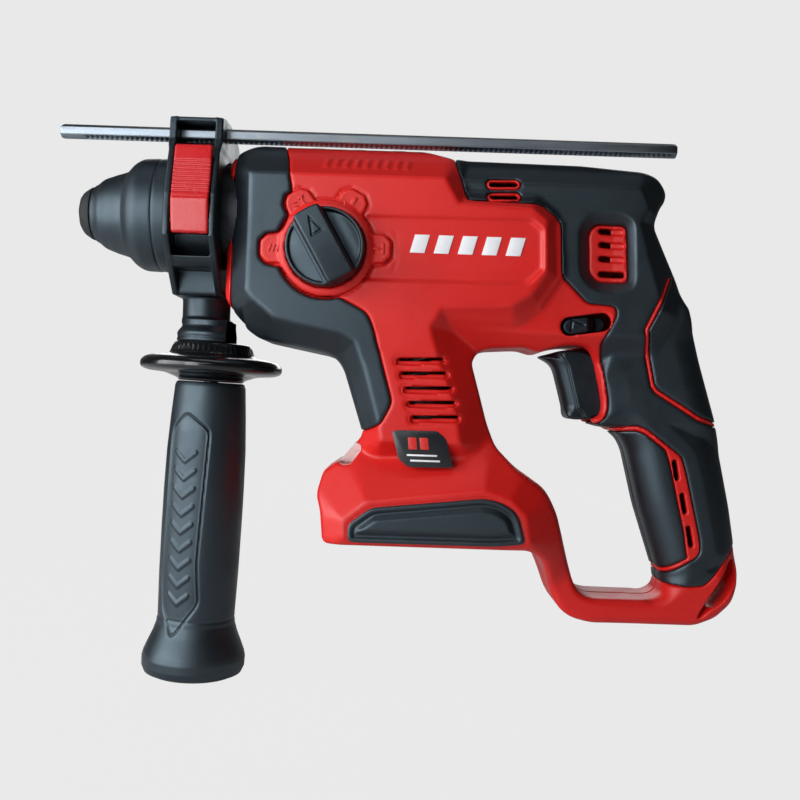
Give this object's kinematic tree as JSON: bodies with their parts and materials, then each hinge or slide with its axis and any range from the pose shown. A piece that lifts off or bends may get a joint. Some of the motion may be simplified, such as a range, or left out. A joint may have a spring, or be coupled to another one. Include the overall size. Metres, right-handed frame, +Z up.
{
  "type": "rotary hammer",
  "caption": "Cordless rotary hammer with a D-shaped rear handle, quick-release tool holder, clamp-on side handle, depth rod and a turning mode knob.",
  "frame": {"origin": "on the spindle axis at the front face of the tool holder's spindle", "axes": "+Z up, -X out of the tool holder towards the work, -Y the side with the mode knob"},
  "size_m": [0.3231, 0.0915, 0.2587],
  "materials": {
    "red_plastic": "fine textured moulded plastic",
    "soft_grip": "matte soft overmould",
    "black_plastic": "fine textured moulded plastic",
    "gloss_black": "smooth moulded plastic",
    "red_lever": "satin moulded plastic",
    "white_mark": "printed white marking",
    "label": "printed foil label",
    "zinc_rod": "zinc plated steel",
    "steel": "ground steel",
    "dark_steel": "black oxide steel",
    "alloy": "die cast, as cast",
    "copper": "enamelled copper wire",
    "lens": "clear polycarbonate",
    "rubber": "moulded rubber",
    "board": "circuit board"
  },
  "bodies": {
    "housing": {"housing_left": "red_plastic", "housing_right": "red_plastic", "front_overmould_left": "soft_grip", "front_overmould_right": "soft_grip", "rear_overmould_left": "soft_grip", "rear_overmould_right": "soft_grip", "foot_bumper_left": "black_plastic", "foot_bumper_right": "black_plastic", "badges": "white_mark", "label_plate": "label", "housing_screws": "dark_steel", "led_lens": "lens", "led_board": "board", "switch_module": "black_plastic", "controller": "black_plastic", "terminal_block": "black_plastic", "terminal_blades": "copper", "motor_stator": "steel", "stator_windings": "copper", "motor_bearings": "steel", "gear_case": "alloy", "spindle_bearing": "steel", "spindle_bush": "alloy", "shaft_seal": "rubber", "intermediate_bearings": "steel", "wiring": "copper", "trigger_spring": "steel"},
    "spindle": {"spindle": "steel", "spindle_gear": "steel", "dust_cap": "rubber", "locking_rollers": "steel", "retaining_ring": "steel", "sleeve_spring": "steel"},
    "sleeve": {"locking_sleeve": "gloss_black"},
    "intermediate": {"intermediate_shaft": "steel", "wobble_hub": "steel", "bevel_gear": "steel"},
    "rotor": {"motor_rotor": "steel", "motor_fan": "black_plastic", "motor_pinion": "steel"},
    "wobble": {"wobble_ring": "steel"},
    "piston": {"piston": "alloy", "piston_pin": "steel"},
    "ram": {"ram": "steel"},
    "bolt": {"impact_bolt": "steel"},
    "knob": {"mode_knob": "black_plastic", "selector_cam": "black_plastic"},
    "fork": {"shift_fork": "steel"},
    "trigger": {"trigger": "black_plastic"},
    "direction": {"direction_lever": "black_plastic"},
    "handle_clamp": {"clamp_bracket": "black_plastic", "clamp_band": "dark_steel", "draw_bolt": "zinc_rod", "lever_pin": "zinc_rod"},
    "grip": {"side_grip": "soft_grip", "handle_flange": "gloss_black", "grip_nut": "zinc_rod"},
    "depth_rod": {"depth_rod": "zinc_rod"},
    "depth_lever": {"depth_lever": "red_lever"}
  },
  "joints": [
    {"name": "intermediate_spin", "type": "hinge", "parent": "housing", "child": "intermediate", "pos_m": [0.1, 0, -0.027], "axis": [1, 0, 0], "continuous": true},
    {"name": "spindle_spin", "type": "hinge", "parent": "housing", "child": "spindle", "pos_m": [0.05, 0, 0], "axis": [1, 0, 0], "continuous": true},
    {"name": "motor_spin", "type": "hinge", "parent": "housing", "child": "rotor", "pos_m": [0.144, 0, -0.027], "axis": [0.25, 0, -0.9682], "continuous": true},
    {"name": "sleeve_slide", "type": "slide", "parent": "spindle", "child": "sleeve", "axis": [1, 0, 0], "range_m": [0, 0.008], "stiffness_N_per_m": 900, "springref_m": -0.004, "deforming": ["sleeve_spring"]},
    {"name": "piston_slide", "type": "slide", "parent": "housing", "child": "piston", "axis": [1, 0, 0], "range_m": [-0.006, 0.006]},
    {"name": "wobble_swing", "type": "hinge", "parent": "housing", "child": "wobble", "pos_m": [0.122, 0, -0.027], "axis": [0, 1, 0], "range_deg": [-12.9, 12.9]},
    {"name": "ram_slide", "type": "slide", "parent": "housing", "child": "ram", "axis": [1, 0, 0], "range_m": [-0.0015, 0.0015]},
    {"name": "bolt_slide", "type": "slide", "parent": "housing", "child": "bolt", "axis": [1, 0, 0], "range_m": [0, 0.0035]},
    {"name": "mode_knob_turn", "type": "hinge", "parent": "housing", "child": "knob", "pos_m": [0.1163, -0.04, -0.0182], "axis": [0, -1, 0], "range_deg": [-120, 60]},
    {"name": "shift_fork_slide", "type": "slide", "parent": "housing", "child": "fork", "axis": [1, 0, 0], "range_m": [-0.0041, 0.0021]},
    {"name": "trigger_pull", "type": "slide", "parent": "housing", "child": "trigger", "axis": [1, 0, 0], "range_m": [0, 0.007], "stiffness_N_per_m": 800, "springref_m": -0.002, "deforming": ["trigger_spring"]},
    {"name": "direction_shift", "type": "slide", "parent": "housing", "child": "direction", "axis": [0, 1, 0], "range_m": [-0.003, 0.003]},
    {"name": "handle_swivel", "type": "hinge", "parent": "housing", "child": "handle_clamp", "pos_m": [0.0575, 0, 0], "axis": [1, 0, 0], "range_deg": [-80, 22]},
    {"name": "grip_twist", "type": "hinge", "parent": "handle_clamp", "child": "grip", "pos_m": [0.0614, 0, -0.05], "axis": [0.03, 0, 0.9995], "continuous": true},
    {"name": "depth_rod_slide", "type": "slide", "parent": "handle_clamp", "child": "depth_rod", "axis": [1, 0, 0], "range_m": [-0.1, 0.05]},
    {"name": "depth_lever_press", "type": "hinge", "parent": "handle_clamp", "child": "depth_lever", "pos_m": [0.056, -0.036, -0.008], "axis": [1, 0, 0], "range_deg": [-5, 0], "stiffness_Nm_per_rad": 1, "springref_deg": 171.89}
  ],
  "couplings": [
    {"joint": "spindle_spin", "follows": "intermediate_spin", "ratio": -0.25},
    {"joint": "motor_spin", "follows": "intermediate_spin", "ratio": -3},
    {"joint": "wobble_swing", "follows": "piston_slide", "rad_per_m": 37.037},
    {"joint": "shift_fork_slide", "follows": "mode_knob_turn", "m_per_rad": 0.0019}
  ]
}
